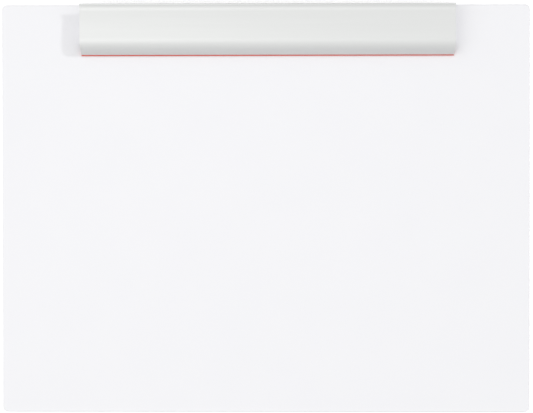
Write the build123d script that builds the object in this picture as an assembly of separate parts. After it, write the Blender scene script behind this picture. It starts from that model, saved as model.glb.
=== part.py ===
from build123d import *
import math
import os

# A clipboard for large sheets in landscape: a thin plastic board with a rocker clamp along its
# head. Pressing the clamp bar's free back edge down turns the bar about its hinge rod and lifts
# the lip off the board; torsion springs close it again.
# Millimetres. +X runs along the clamp, +Y points to the head edge and +Z up out of the board's
# face. The origin is the middle of the board's underside.
# Across the clamp, a place is given as `back`, its distance from the head edge towards the
# reader, and `up`, its height above the board's face.

# Board
board_length = 440.0
board_depth = 340.0
board_thickness = 3.0
board_corner_radius = 4.0
board_edge_radius = 1.2

# Clamp bar: an extruded aluminium plate, almost flat on top, that bends down to a leaning front
# and curls up a little at its free back edge
clamp_offset = 1.7
bar_length = 310.0
bar_wall = 1.5
bar_back = 0.6
bar_front = 41.9
crown_up = 15.0
foot_up = 1.7
top_radius = 320.0
front_radius = 11.0
front_lean = 66.0
curl_radius = 6.5
curl_angle = 40.0

# Groove along the bar's front foot, and the soft lip strip pushed into it
groove_back = 39.8
groove_up = 3.2
groove_radius = 0.85
groove_mouth = 1.1
groove_block_back = 38.3
groove_block_up = 4.9
strip_clearance = 0.05
strip_front = 42.6
strip_gap = 0.15
strip_nose_radius = 0.7

# Hinge: knuckles of the rail and of the bar stand in turn along one steel rod
pivot_back = 19.0
pivot_up = 7.0
rod_radius = 2.0
rod_overhang = 4.2
push_clearance = 0.02
running_clearance = 0.06
knuckle_radius = 3.5
knuckle_length = 8.0
knuckle_gap = 0.4
rib_thickness = 2.0
bar_stub_up = 12.2
rail_stub_up = 2.2
cap_radius = 3.3
cap_length = 4.6
cap_depth = 3.8
cap_edge_radius = 0.8

# Base rail: an extruded aluminium channel riveted to the board under the bar
rail_length = 306.0
rail_floor = 1.5
rail_back = 6.0
rail_front = 33.2
rail_stop_thickness = 1.4
rail_stop_up = 4.5
rail_heel_thickness = 1.2
rail_heel_up = 7.1

# End plugs: moulded plates that close the rail's ends, each with two legs pushed into the channel.
# In front they fill the bar's hollow, and behind the hinge their top slopes down under the bar,
# which needs the room when it is pressed
plug_plate = 1.6
plug_leg_length = 4.5
plug_leg_up = 4.2
plug_lift = 0.1
plug_clearance = 0.05
plug_rib_room = 0.3
plug_heel_up = 7.0
plug_crest_back = 24.5
plug_crest_front = 29.0
plug_crest_up = 12.8
plug_shoulder_up = 11.3
plug_crest_radius = 4.0
plug_shoulder_radius = 2.0
plug_heel_radius = 1.0

# Torsion springs, one in each knuckle group
group_spacing = 80.0
group_count = 4
spring_pocket = 9.0
spring_wire = 1.2
spring_radius = 3.6
spring_pitch = 1.35
spring_turns = 4
spring_clearance = 0.05
lower_leg_back = 9.0
upper_leg_back = 9.5

# Tubular rivets with countersunk heads under the board
rivet_count = 5
rivet_spacing = 70.0
rivet_back = 26.0
rivet_shank_radius = 1.95
rivet_head_radius = 3.4
rivet_head_depth = 1.3
rivet_recess = 0.1
rivet_tube_radius = 1.2
rivet_tube_bottom = 2.0
rivet_collar_radius = 3.0
rivet_collar_height = 0.9
rivet_collar_edge = 0.4
rivet_hole_clearance = 0.05

# Room that cutting shapes reach past what they cut
overcut = 5.0

# Worked out from the sizes above
pivot_y = board_depth / 2 - pivot_back
pivot_z = board_thickness + pivot_up
group_xs = [clamp_offset + (i - (group_count - 1) / 2) * group_spacing for i in range(group_count)]
rivet_xs = [clamp_offset + (i - (rivet_count - 1) / 2) * rivet_spacing for i in range(rivet_count)]
rail_knuckle_offset = spring_pocket / 2 + knuckle_length / 2
bar_knuckle_offset = rail_knuckle_offset + knuckle_length + knuckle_gap


def at(back, up):
    """The (Y, Z) of a place across the clamp."""
    return (board_depth / 2 - back, board_thickness + up)


def block(back_low, back_high, up_low, up_high):
    """A rectangle of the clamp's section."""
    middle = at((back_low + back_high) / 2, (up_low + up_high) / 2)
    return Pos(*middle) * Rectangle(back_high - back_low, up_high - up_low)


def disc(back, up, radius):
    """A circle of the clamp's section."""
    return Pos(*at(back, up)) * Circle(radius)


def along_clamp(section, length, x_middle=clamp_offset):
    """A section drawn in (Y, Z), extruded along X about x_middle."""
    plane = Plane(origin=(x_middle, 0, 0), x_dir=(0, 1, 0), z_dir=(1, 0, 0))
    return extrude(plane * section, amount=length / 2, both=True)


def rivet_places(shape):
    """Copies of a shape on every rivet's axis."""
    y = board_depth / 2 - rivet_back
    return [Pos(x, y, 0) * shape for x in rivet_xs]


def bend_centres():
    """Centres, as (back, up), of the bar's front bend, its top and its curled back edge."""
    lean = math.radians(front_lean)
    bend_drop = front_radius * (1 - math.cos(lean))
    wall_run = (crown_up - bend_drop - foot_up) / math.tan(lean)
    crown_back = bar_front - wall_run - front_radius * math.sin(lean)
    front = (crown_back, crown_up - front_radius)
    top = (crown_back, crown_up - top_radius)
    half_wall = bar_wall / 2
    curl_reach = (curl_radius + half_wall) * math.sin(math.radians(curl_angle))
    curl_back = bar_back + half_wall + curl_reach
    curl_rise = math.sqrt((top_radius + curl_radius) ** 2 - (curl_back - crown_back) ** 2)
    return front, top, (curl_back, top[1] + curl_rise)


def skin_places(inset):
    """Ends of the bends, from the back edge to the foot, on the skin moved in by inset."""
    front, top, curl = bend_centres()
    lean = math.radians(front_lean)
    turned = math.radians(curl_angle)
    outer_curl = curl_radius + inset
    inner_front = front_radius - inset
    tip = (curl[0] - outer_curl * math.sin(turned), curl[1] - outer_curl * math.cos(turned))
    share = outer_curl / (top_radius + curl_radius)
    curl_end = (curl[0] + (top[0] - curl[0]) * share, curl[1] + (top[1] - curl[1]) * share)
    crown = (front[0], crown_up - inset)
    bend_end = (front[0] + inner_front * math.sin(lean), front[1] + inner_front * math.cos(lean))
    foot = (bend_end[0] + (bend_end[1] - foot_up) / math.tan(lean), foot_up)
    return [at(*place) for place in (tip, curl_end, crown, bend_end, foot)]


def bar_skin():
    """The section of the bar's plate, its back edge rounded."""
    edges = []
    for inset in (0, bar_wall):
        tip, curl_end, crown, bend_end, foot = skin_places(inset)
        edges += [
            RadiusArc(tip, curl_end, curl_radius + inset),
            RadiusArc(curl_end, crown, inset - top_radius),
            RadiusArc(crown, bend_end, inset - front_radius),
            Line(bend_end, foot),
        ]
    outer_tip, inner_tip = skin_places(0)[0], skin_places(bar_wall)[0]
    curl_y, curl_z = at(*bend_centres()[2])
    middle_y, middle_z = (outer_tip[0] + inner_tip[0]) / 2, (outer_tip[1] + inner_tip[1]) / 2
    out_of_edge = Vector(curl_z - middle_z, middle_y - curl_y).normalized() * bar_wall / 2
    round_middle = Vector(middle_y, middle_z) + out_of_edge
    edges.append(ThreePointArc(outer_tip, round_middle, inner_tip))
    edges.append(Line(skin_places(0)[-1], skin_places(bar_wall)[-1]))
    return make_face(edges)


def foot_block():
    """The thickened foot that holds the lip strip's groove."""
    lean_run = (groove_block_up - foot_up) / math.tan(math.radians(front_lean))
    corners = [
        (groove_block_back, foot_up),
        (bar_front, foot_up),
        (bar_front - lean_run, groove_block_up),
        (groove_block_back, groove_block_up),
    ]
    return make_face(Polyline([at(*corner) for corner in corners], close=True))


def hinge_knuckle(section_rib, bore_clearance):
    """The section of a knuckle: its rib and its eye, bored for the rod."""
    eye = disc(pivot_back, pivot_up, knuckle_radius)
    bore = disc(pivot_back, pivot_up, rod_radius + bore_clearance)
    return section_rib + eye - bore


def groups_of(section, offset):
    """Two knuckles in every group, the same distance to each side of its spring."""
    places = [x + side * offset for x in group_xs for side in (-1, 1)]
    return [along_clamp(section, knuckle_length, x) for x in places]


def make_board():
    """The board: a moulded slab with rounded corners, soft edges and countersunk rivet holes."""
    outline = RectangleRounded(board_length, board_depth, board_corner_radius)
    slab = extrude(outline, amount=board_thickness)
    rims = slab.faces().sort_by(Axis.Z)[0].edges() + slab.faces().sort_by(Axis.Z)[-1].edges()
    slab = fillet(rims, board_edge_radius)
    slope = (rivet_head_radius - rivet_shank_radius) / rivet_head_depth
    mouth_radius = rivet_head_radius + rivet_hole_clearance + rivet_recess * slope
    hole_radius = rivet_shank_radius + rivet_hole_clearance
    bottom = (Align.CENTER, Align.CENTER, Align.MIN)
    sink = Cone(mouth_radius, hole_radius, rivet_head_depth + rivet_recess, align=bottom)
    hole = sink + Cylinder(hole_radius, board_thickness + overcut, align=bottom)
    return slab - rivet_places(hole)


def make_clamp_bar():
    """The bar: a bent plate with a grooved foot, hinge knuckles and a low rib between them."""
    half_mouth = groove_mouth / 2
    mouth = block(groove_back - half_mouth, groove_back + half_mouth, 0, groove_up)
    groove = mouth + disc(groove_back, groove_up, groove_radius)
    rib_low = pivot_back - rib_thickness / 2
    rib_high = pivot_back + rib_thickness / 2
    rib_top = crown_up - bar_wall / 2
    stub = block(rib_low, rib_high, bar_stub_up, rib_top)
    shell = along_clamp(bar_skin() + foot_block() + stub - groove, bar_length)
    rib = block(rib_low, rib_high, pivot_up, rib_top)
    return shell + groups_of(hinge_knuckle(rib, running_clearance), bar_knuckle_offset)


def make_lip_strip():
    """The soft lip: a flat pad that presses on the sheets, held by a bulb in the bar's groove."""
    pad_top = foot_up - strip_clearance
    pad = block(groove_block_back, strip_front, strip_gap, pad_top)
    nose = pad.vertices().group_by(Axis.X)[0]
    pad = fillet(nose, strip_nose_radius)
    half_neck = groove_mouth / 2 - strip_clearance
    neck = block(groove_back - half_neck, groove_back + half_neck, strip_gap, groove_up)
    bulb = disc(groove_back, groove_up, groove_radius - strip_clearance)
    return along_clamp(pad + neck + bulb, bar_length)


def make_base_rail():
    """The rail: a floor with a paper stop, a heel, and knuckles that carry the hinge rod."""
    floor = block(rail_back, rail_front, 0, rail_floor)
    stop = block(rail_front - rail_stop_thickness, rail_front, 0, rail_stop_up)
    heel = block(rail_back, rail_back + rail_heel_thickness, 0, rail_heel_up)
    rib_low = pivot_back - rib_thickness / 2
    rib_high = pivot_back + rib_thickness / 2
    stub = block(rib_low, rib_high, 0, rail_stub_up)
    rail = along_clamp(floor + stop + heel + stub, rail_length)
    rib = block(rib_low, rib_high, 0, pivot_up)
    rail += groups_of(hinge_knuckle(rib, push_clearance), rail_knuckle_offset)
    hole_radius = rivet_shank_radius + rivet_hole_clearance
    return rail - rivet_places(Pos(0, 0, board_thickness) * Cylinder(hole_radius, 2 * overcut))


def make_end_plug(side):
    """A plug for one end of the rail: a shaped plate outside and two legs in the channel."""
    corners = [
        (rail_back, plug_lift),
        (rail_back, plug_heel_up),
        (plug_crest_back, plug_crest_up),
        (plug_crest_front, plug_crest_up),
        (rail_front, plug_shoulder_up),
        (rail_front, plug_lift),
    ]
    radii = [0, plug_heel_radius, plug_crest_radius, plug_crest_radius, plug_shoulder_radius, 0]
    plate = make_face(FilletPolyline([at(*corner) for corner in corners], radius=radii, close=True))
    plate_x = side * (rail_length + plug_plate) / 2
    plug = along_clamp(plate, plug_plate, clamp_offset + plate_x)
    rib_half = rib_thickness / 2 + plug_rib_room
    leg_low = rail_floor + plug_clearance
    back_low = rail_back + rail_heel_thickness + plug_clearance
    front_high = rail_front - rail_stop_thickness - plug_clearance
    legs = block(back_low, pivot_back - rib_half, leg_low, plug_leg_up)
    legs += block(pivot_back + rib_half, front_high, leg_low, plug_leg_up)
    legs_x = side * (rail_length - plug_leg_length) / 2
    return plug + along_clamp(legs, plug_leg_length, clamp_offset + legs_x)


def rod_half_length():
    """From the middle of the clamp to the rod's end, just past the last knuckle."""
    last_group = (group_count - 1) / 2 * group_spacing
    return last_group + bar_knuckle_offset + knuckle_length / 2 + rod_overhang


def make_hinge_rod():
    """The steel rod that all the knuckles turn on or hold."""
    return along_clamp(disc(pivot_back, pivot_up, rod_radius), 2 * rod_half_length())


def make_rod_cap(side):
    """A push-on cap over one end of the rod."""
    mouth_x = rod_half_length() - cap_depth
    cap = extrude(Circle(cap_radius), amount=cap_length)
    cap = fillet(cap.faces().sort_by(Axis.Z)[-1].edges(), cap_edge_radius)
    cap -= extrude(Circle(rod_radius + push_clearance), amount=cap_depth)
    plane = Plane(
        origin=(clamp_offset + side * mouth_x, pivot_y, pivot_z),
        x_dir=(0, 1, 0),
        z_dir=(side, 0, 0),
    )
    return plane * cap


def tangent_place(back, up, side):
    """Angle, about the pivot, where a straight leg from a place touches the spring's coil."""
    run_back = back - pivot_back
    run_up = up - pivot_up
    distance = math.hypot(run_back, run_up)
    bearing = math.atan2(run_up, run_back)
    angle = bearing + side * math.acos(spring_radius / distance)
    return angle, math.sqrt(distance**2 - spring_radius**2)


def make_spring(x_middle):
    """A torsion spring: one leg lies on the rail's floor, the other bears up on the bar."""
    wire = spring_wire / 2
    lower_up = rail_floor + wire + spring_clearance
    top = bend_centres()[1]
    ceiling_radius = top_radius - bar_wall
    ceiling_up = top[1] + math.sqrt(ceiling_radius**2 - (upper_leg_back - top[0]) ** 2)
    upper_up = ceiling_up - wire - 2 * spring_clearance
    start, lower_leg = tangent_place(lower_leg_back, lower_up, 1)
    finish, upper_leg = tangent_place(upper_leg_back, upper_up, -1)
    sweep_angle = (finish - start) % (2 * math.pi) + spring_turns * 2 * math.pi
    coil_length = spring_pitch * sweep_angle / (2 * math.pi)
    coil = Helix(spring_pitch, coil_length, spring_radius)
    section = Circle(wire)
    spring = sweep(Plane(coil @ 0, z_dir=coil % 0) * section, path=coil, is_frenet=True)
    spring += extrude(Plane(coil @ 0, z_dir=-(coil % 0)) * section, amount=lower_leg)
    spring += extrude(Plane(coil @ 1, z_dir=coil % 1) * section, amount=upper_leg)
    plane = Plane(
        origin=(x_middle + coil_length / 2, pivot_y, pivot_z),
        x_dir=(0, -math.cos(start), math.sin(start)),
        z_dir=(-1, 0, 0),
    )
    return plane * spring


def make_rivet(place):
    """A tubular rivet, its countersunk head under the board and its end rolled on the rail."""
    rolled_on = board_thickness + rail_floor
    top = rolled_on + rivet_collar_height
    half = Polyline(
        (0, rivet_recess),
        (rivet_head_radius, rivet_recess),
        (rivet_shank_radius, rivet_recess + rivet_head_depth),
        (rivet_shank_radius, rolled_on),
        (rivet_collar_radius, rolled_on),
        (rivet_collar_radius, top),
        (rivet_tube_radius, top),
        (rivet_tube_radius, rivet_tube_bottom),
        (0, rivet_tube_bottom),
        close=True,
    )
    body = revolve(Plane.XZ * make_face(half), Axis.Z)
    rims = body.faces().sort_by(Axis.Z)[-1].edges()
    body = fillet(rims, rivet_collar_edge)
    return rivet_places(body)[place]


parts = {
    "board": make_board(),
    "base_rail": make_base_rail(),
    "clamp_bar": make_clamp_bar(),
    "lip_strip": make_lip_strip(),
    "end_plug_left": make_end_plug(-1),
    "end_plug_right": make_end_plug(1),
    "hinge_rod": make_hinge_rod(),
    "rod_cap_left": make_rod_cap(-1),
    "rod_cap_right": make_rod_cap(1),
}
for i, x in enumerate(group_xs):
    parts[f"spring_{i + 1}"] = make_spring(x)
for i in range(rivet_count):
    parts[f"rivet_{i + 1}"] = make_rivet(i)

os.makedirs("parts", exist_ok=True)
for name, part in parts.items():
    export_step(part, f"parts/{name}.step")
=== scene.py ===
# %% [markdown]
# # A clipboard with an aluminium rocker clamp
# A thin white plastic board carries one long clamp along its head edge. The clamp is a bent
# aluminium bar on a hinge: pressing its free back edge down lifts the red lip at its front, and
# torsion springs close it again. The solid model already has every piece at its right size and
# place. This lesson keeps those places and makes each piece look like the real thing.

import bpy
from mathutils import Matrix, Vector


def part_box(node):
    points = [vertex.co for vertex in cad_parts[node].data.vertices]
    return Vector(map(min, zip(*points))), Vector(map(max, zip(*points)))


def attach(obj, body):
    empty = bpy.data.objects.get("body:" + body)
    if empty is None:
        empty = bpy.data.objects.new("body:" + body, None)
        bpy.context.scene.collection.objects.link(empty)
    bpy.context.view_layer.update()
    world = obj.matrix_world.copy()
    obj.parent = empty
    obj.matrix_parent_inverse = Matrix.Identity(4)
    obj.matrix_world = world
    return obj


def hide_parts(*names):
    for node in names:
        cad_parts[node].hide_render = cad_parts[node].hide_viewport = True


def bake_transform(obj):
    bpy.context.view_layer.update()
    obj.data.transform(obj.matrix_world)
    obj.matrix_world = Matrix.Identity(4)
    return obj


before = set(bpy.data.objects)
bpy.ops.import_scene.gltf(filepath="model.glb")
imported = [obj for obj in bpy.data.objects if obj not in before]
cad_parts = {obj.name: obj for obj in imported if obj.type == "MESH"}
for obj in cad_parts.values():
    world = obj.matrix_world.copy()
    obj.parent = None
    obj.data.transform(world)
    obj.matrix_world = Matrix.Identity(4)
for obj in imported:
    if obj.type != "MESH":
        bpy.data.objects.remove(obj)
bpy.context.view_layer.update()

# %% [markdown]
# ## Measure the frame
# Blender works in metres, while small parts are easier to think of in millimetres. A place
# across the clamp is given as a pair of millimetres: how far back it is from the head edge, and
# how far up from the board's face. The big sizes come from the solid model, so nothing here has
# to be fitted by eye.

# %% Sizes read from the frame
import math

import bpy
from mathutils import Vector

MM = 0.001
scene = bpy.context.scene
board_low, board_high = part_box("board")
bar_low, bar_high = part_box("clamp_bar")
strip_low, strip_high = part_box("lip_strip")
rail_low, rail_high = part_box("base_rail")
rod_low, rod_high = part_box("hinge_rod")
pivot = (rod_low + rod_high) / 2
print("board", [round(v / MM, 1) for v in board_high - board_low], "mm")
print("clamp bar", [round(v / MM, 1) for v in bar_high - bar_low], "mm")


# %% Places across the clamp
def section_point(back, up):
    """A place across the clamp, in metres, on the flat sheet where sections are drawn."""
    return (board_high.y - back * MM, board_high.z + up * MM, 0)


def back_of(y):
    """How far back from the head edge a depth is, in millimetres."""
    return (board_high.y - y) / MM


def up_of(z):
    """How far above the board's face a height is, in millimetres."""
    return (z - board_high.z) / MM


PIVOT_BACK, PIVOT_UP = back_of(pivot.y), up_of(pivot.z)
print("hinge is", round(PIVOT_BACK, 2), "mm back and", round(PIVOT_UP, 2), "mm up")

# %% [markdown]
# ## Two helpers for nodes, one for colours
# Shader trees and geometry trees are built the same way: a node is added, its settings are set,
# and each input gets a value, another node's output, or several outputs. Where a node itself is
# given, its first output is meant, which is nearly always the one that carries on. Colours are
# written as the sRGB hex codes that a paint chart gives, and Blender's sockets want them linear.


# %% Helpers for nodes and colours
def feed(tree, node, inputs):
    """Gives each socket its value, or links it to a node, an output or a list of them."""
    for socket, value in inputs.items():
        sources = value if isinstance(value, list) else [value]
        sources = [s.outputs[0] if isinstance(s, bpy.types.Node) else s for s in sources]
        if isinstance(sources[0], bpy.types.NodeSocket):
            for output in sources:
                tree.links.new(output, node.inputs[socket])
        else:
            node.inputs[socket].default_value = value


def add_node(tree, kind, inputs=None, **settings):
    """Adds a node with these settings, and feeds its inputs."""
    node = tree.nodes.new(kind)
    for name, value in settings.items():
        setattr(node, name, value)
    feed(tree, node, inputs or {})
    return node


def linear(code):
    """An sRGB hex colour as linear red, green, blue and alpha."""
    shares = [int(code[i:i + 2], 16) / 255 for i in (0, 2, 4)]
    return [s / 12.92 if s <= 0.04045 else ((s + 0.055) / 1.055) ** 2.4 for s in shares] + [1.0]


print("mid grey is", round(linear("808080")[0], 3), "linear")

# %% [markdown]
# ## The stage
# The clipboard lies on a plain white table and is seen from straight above, from a bit over a
# metre away, so the bar's height shows only as a slight lean outwards. A long lens keeps the
# board's sides parallel. The camera could be aimed with a constraint, but three fixed angles
# keep the small tilt that a hand-placed tripod has.

# %% The camera
CAMERA_PLACE = (0.0150, 0.0176, 1.2592)
CAMERA_TURN = (-0.718, 0.651, -0.046)
LENS = 101.7
camera = bpy.data.objects.new("camera", bpy.data.cameras.new("camera"))
scene.collection.objects.link(camera)
camera.location = CAMERA_PLACE
camera.rotation_euler = [math.radians(angle) for angle in CAMERA_TURN]
camera.data.lens = LENS
scene.camera = camera
print("camera is", CAMERA_PLACE[2], "m up")

# %% [markdown]
# ## A material starter
# Every finish below starts from the Principled shader with the plain values of its real
# substance, and from one texture coordinate: the object's own space, in metres. All pieces sit
# at the origin unturned, so a pattern drawn in that space has its real size on every piece.


# %% New finishes
def new_finish(name, sockets):
    """A material, its tree, its shader and the place, in metres, of each point."""
    finish = bpy.data.materials.new(name)
    finish.use_nodes = True
    tree = finish.node_tree
    shader = tree.nodes["Principled BSDF"]
    feed(tree, shader, sockets)
    place = add_node(tree, "ShaderNodeTexCoord").outputs["Object"]
    return finish, tree, shader, place


def per_size(*sizes):
    """The scale that makes a noise pattern's grains this many millimetres long, wide and high."""
    return [1 / (size * MM) for size in sizes]


def stretched_noise(tree, place, sizes, detail=2.0):
    """Noise, from 0 to 1, whose grains have these sizes along X, Y and Z in millimetres."""
    spread = add_node(tree, "ShaderNodeMapping", {"Vector": place, "Scale": per_size(*sizes)})
    return add_node(tree, "ShaderNodeTexNoise", {"Vector": spread, "Scale": 1.0, "Detail": detail})


print("1 mm grains need a scale of", per_size(1)[0])

# %% [markdown]
# ## White table
# The table is a sheet of white card, lit a little from below so that it stays clean white
# right up to the board's edge. It isn't part of the clipboard.

# %% The table
TABLE_HALF = 2.5
TABLE_DROP = 0.1 * MM
CORNERS = [(-1, -1), (1, -1), (1, 1), (-1, 1)]
table_mesh = bpy.data.meshes.new("table_top")
table_points = [(x * TABLE_HALF, y * TABLE_HALF, -TABLE_DROP) for x, y in CORNERS]
table_mesh.from_pydata(table_points, [], [(0, 1, 2, 3)])
table = bpy.data.objects.new("table_top", table_mesh)
scene.collection.objects.link(table)
table_card, _, _, _ = new_finish("matt_white_card", {
    "Base Color": linear("F8F8F8"),
    "Roughness": 0.9,
    "Specular IOR Level": 0.2,
    "Emission Color": linear("FFFFFF"),
    "Emission Strength": 0.12,
})
table_mesh.materials.append(table_card)
print("table is", 2 * TABLE_HALF, "m wide")

# %% [markdown]
# ## Studio light
# White objects on white need nearly even light, with just enough direction to shape the bar. A
# dome of light, strongest overhead, does most of it: it is a little brighter to the left and on
# the reader's side, like a room with its windows there. Two softboxes stand to the sides: the
# key, on the right and a little towards the head edge, throws the bar's soft shadow to the left,
# and a broad weak fill at the reader's left makes the board fade a little to the right. An HDR
# picture could light the scene too, but a sum of the view direction's parts is easier to steer.

# %% The dome
HORIZON, SIXTY_UP, OVERHEAD = 0.66, 1.02, 1.05
TO_LEFT, TO_READER = 0.18, 0.24
SIXTY_HEIGHT = math.sin(math.radians(60))
world = bpy.data.worlds.new("studio")
world.use_nodes = True
scene.world = world
dome = world.node_tree
dome.nodes.clear()
direction = add_node(dome, "ShaderNodeTexCoord").outputs["Generated"]
parts = add_node(dome, "ShaderNodeSeparateXYZ", {"Vector": direction}).outputs
low_part = add_node(dome, "ShaderNodeMapRange", {
    "Value": parts["Z"], "From Min": 0.0, "From Max": SIXTY_HEIGHT,
    "To Min": HORIZON, "To Max": SIXTY_UP,
})
high_part = add_node(dome, "ShaderNodeMapRange", {
    "Value": parts["Z"], "From Min": SIXTY_HEIGHT, "From Max": 1.0,
    "To Min": 0.0, "To Max": OVERHEAD - SIXTY_UP,
})
strength = add_node(dome, "ShaderNodeMath", {0: low_part, 1: high_part}, operation="ADD")
for axis, amount in (("X", TO_LEFT), ("Y", TO_READER)):
    strength = add_node(dome, "ShaderNodeMath", {
        0: parts[axis], 1: -amount, 2: strength,
    }, operation="MULTIPLY_ADD")
background = add_node(dome, "ShaderNodeBackground", {
    "Color": linear("FFFFFF"), "Strength": strength,
})
add_node(dome, "ShaderNodeOutputWorld", {"Surface": background})
scene.view_settings.view_transform = "Standard"
print("dome from", HORIZON, "to", OVERHEAD)


# %% The softboxes
def softbox(name, bearing, elevation, distance, side, power):
    """A square light that faces the hinge. bearing is from +X towards +Y, in degrees."""
    lamp = bpy.data.objects.new(name, bpy.data.lights.new(name, "AREA"))
    scene.collection.objects.link(lamp)
    lamp.data.size = side
    lamp.data.energy = power
    turn, rise = math.radians(bearing), math.radians(elevation)
    ray = Vector((math.cos(rise) * math.cos(turn), math.cos(rise) * math.sin(turn), math.sin(rise)))
    lamp.location = pivot + ray * distance
    lamp.rotation_euler = (-ray).to_track_quat("-Z", "Y").to_euler()
    return lamp


softbox("key_light", bearing=24, elevation=40, distance=5.0, side=0.5, power=54.0)
softbox("fill_light", bearing=185, elevation=66, distance=1.2, side=1.2, power=2.3)

# %% [markdown]
# ## A grained finish
# Moulding, drawing and plating all leave a grain, and what raises a bump also makes the sheen
# uneven. So one function makes the finishes from the real size of a grain: the same noise bends
# the normal and varies the roughness. A second, coarser noise can let the colour drift. An
# image texture could do it too, but noise never shows where it repeats.

# %% Grain
NOISE_LOW, NOISE_HIGH = 0.25, 0.75


def grained_finish(name, sockets, grain, roughness, strength, depth, colours=(), drift=None):
    """A finish whose grain has these sizes, and this depth, in millimetres. Its two colours drift
    over patches of these sizes, or else over the grain."""
    finish, tree, shader, place = new_finish(name, sockets)
    pattern = stretched_noise(tree, place, grain, detail=3.0)
    if colours:
        tint = add_node(tree, "ShaderNodeMix", {
            "Factor": stretched_noise(tree, place, drift) if drift else pattern,
            6: linear(colours[0]), 7: linear(colours[1]),
        }, data_type="RGBA")
        feed(tree, shader, {"Base Color": tint.outputs[2]})
    rough = add_node(tree, "ShaderNodeMapRange", {
        "Value": pattern, "From Min": NOISE_LOW, "From Max": NOISE_HIGH,
        "To Min": roughness[0], "To Max": roughness[1],
    })
    bump = add_node(tree, "ShaderNodeBump", {
        "Height": pattern, "Strength": strength, "Distance": depth * MM,
    })
    feed(tree, shader, {"Roughness": rough, "Normal": bump})
    print("finish:", name)
    return finish


# %% [markdown]
# ## Satin polystyrene
# The board is white high-impact polystyrene, pressed in a mould whose face was sandblasted. That
# leaves a fine grain: the sheen is satin, and highlights break up into a soft haze. The grain is
# about 0.35 mm wide. A faint cloudiness, some 50 mm across, keeps the white from looking painted.

# %% Finish of the board
board_finish = grained_finish(
    "satin_impact_polystyrene", {"IOR": 1.59, "Specular IOR Level": 0.35},
    grain=(0.35, 0.35, 0.35), roughness=(0.40, 0.52), strength=0.25, depth=0.02,
    colours=("E2E2E5", "E4E4E6"), drift=(50, 50, 50),
)

# %% [markdown]
# ## Satin anodised aluminium
# The bar is extruded, etched matt in a bath and then anodised clear. The die leaves faint lines
# along its length, about 0.3 mm apart, which blur reflections across the bar more than along it.
# Its ends are sawn after anodising, so there the metal is bare, brighter and marked by the saw.
# Both looks live in one material: the surface's own direction tells the ends from the skin.


# %% Finish of the extrusions
FACES_THE_END = 0.9


def extruded_aluminium(name, skin, bare, roughness, line_depth):
    """Extruded aluminium: die lines along X on the skin, and bare ends with saw marks."""
    finish, tree, shader, place = new_finish(name, {"Metallic": 1.0})
    facing = add_node(tree, "ShaderNodeNewGeometry").outputs["True Normal"]
    along = add_node(tree, "ShaderNodeSeparateXYZ", {"Vector": facing}).outputs["X"]
    size = add_node(tree, "ShaderNodeMath", {0: along}, operation="ABSOLUTE")
    sawn = add_node(tree, "ShaderNodeMath", {0: size, 1: FACES_THE_END}, operation="GREATER_THAN")
    die_lines = stretched_noise(tree, place, (60, 0.3, 0.3), detail=3.0)
    saw_marks = stretched_noise(tree, place, (0.4, 0.12, 3.0))
    etch = stretched_noise(tree, place, (0.25, 0.25, 0.25), detail=3.0)
    streaks = stretched_noise(tree, place, (200, 4, 4))
    shade = add_node(tree, "ShaderNodeMix", {
        "Factor": streaks, 6: linear(skin[0]), 7: linear(skin[1]),
    }, data_type="RGBA")
    metal = add_node(tree, "ShaderNodeMix", {
        "Factor": sawn, 6: shade.outputs[2], 7: linear(bare),
    }, data_type="RGBA")
    rough = add_node(tree, "ShaderNodeMapRange", {
        "Value": die_lines, "From Min": NOISE_LOW, "From Max": NOISE_HIGH,
        "To Min": roughness[0], "To Max": roughness[1],
    })
    lines = add_node(tree, "ShaderNodeMix", {"Factor": sawn, "A": die_lines, "B": saw_marks})
    pits = add_node(tree, "ShaderNodeBump", {
        "Height": etch, "Strength": 0.15, "Distance": 0.01 * MM,
    })
    ridges = add_node(tree, "ShaderNodeBump", {
        "Height": lines, "Strength": line_depth, "Distance": 0.01 * MM, "Normal": pits,
    })
    feed(tree, shader, {"Base Color": metal.outputs[2], "Roughness": rough, "Normal": ridges})
    print("finish:", name)
    return finish


bar_finish = extruded_aluminium(
    "satin_anodised_aluminium", skin=("D5D6D5", "D8D9D8"), bare="DCDCDC",
    roughness=(0.47, 0.53), line_depth=0.2,
)

# %% [markdown]
# ## Mill finish
# The rail under the bar is the same kind of extrusion, left as it came from the press. Nobody
# sees it in use, so it isn't anodised: it is a bit bluer and shinier, with plainer die lines.

# %% Finish of the rail
rail_finish = extruded_aluminium(
    "mill_finish_aluminium", skin=("D6D8DA", "DDDFE0"), bare="E2E3E4",
    roughness=(0.31, 0.37), line_depth=0.4,
)

# %% [markdown]
# ## Soft red rubber
# The lip is a soft extruded strip, coloured all through. Its skin is dull with a dusty bloom,
# which a little sheen gives, and handling leaves it slightly uneven.

# %% Finish of the lip
lip_finish = grained_finish(
    "soft_red_rubber", {"IOR": 1.52, "Sheen Weight": 0.15, "Sheen Roughness": 0.5},
    grain=(0.3, 0.12, 0.12), roughness=(0.55, 0.70), strength=0.3, depth=0.02,
    colours=("C2341F", "D0432C"), drift=(12, 3, 3),
)

# %% [markdown]
# ## White ABS
# The plugs in the rail's ends are injection moulded in white. The mould was spark eroded, which
# leaves a fine matt grain, much like orange peel seen from far away.

# %% Finish of the plugs
plug_finish = grained_finish(
    "white_moulded_abs", {"Base Color": linear("EEEEF1"), "IOR": 1.54},
    grain=(0.25, 0.25, 0.25), roughness=(0.42, 0.56), strength=0.3, depth=0.02,
)

# %% [markdown]
# ## Steels and small aluminium
# The rod, its caps, the springs and the rivets are small bright metal parts. Drawing leaves
# lines along the rod and the spring wire, and plating and pressing leave a fine crystal grain.
# All of it is drawn coarser than life, so that it shows at all.

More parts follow.
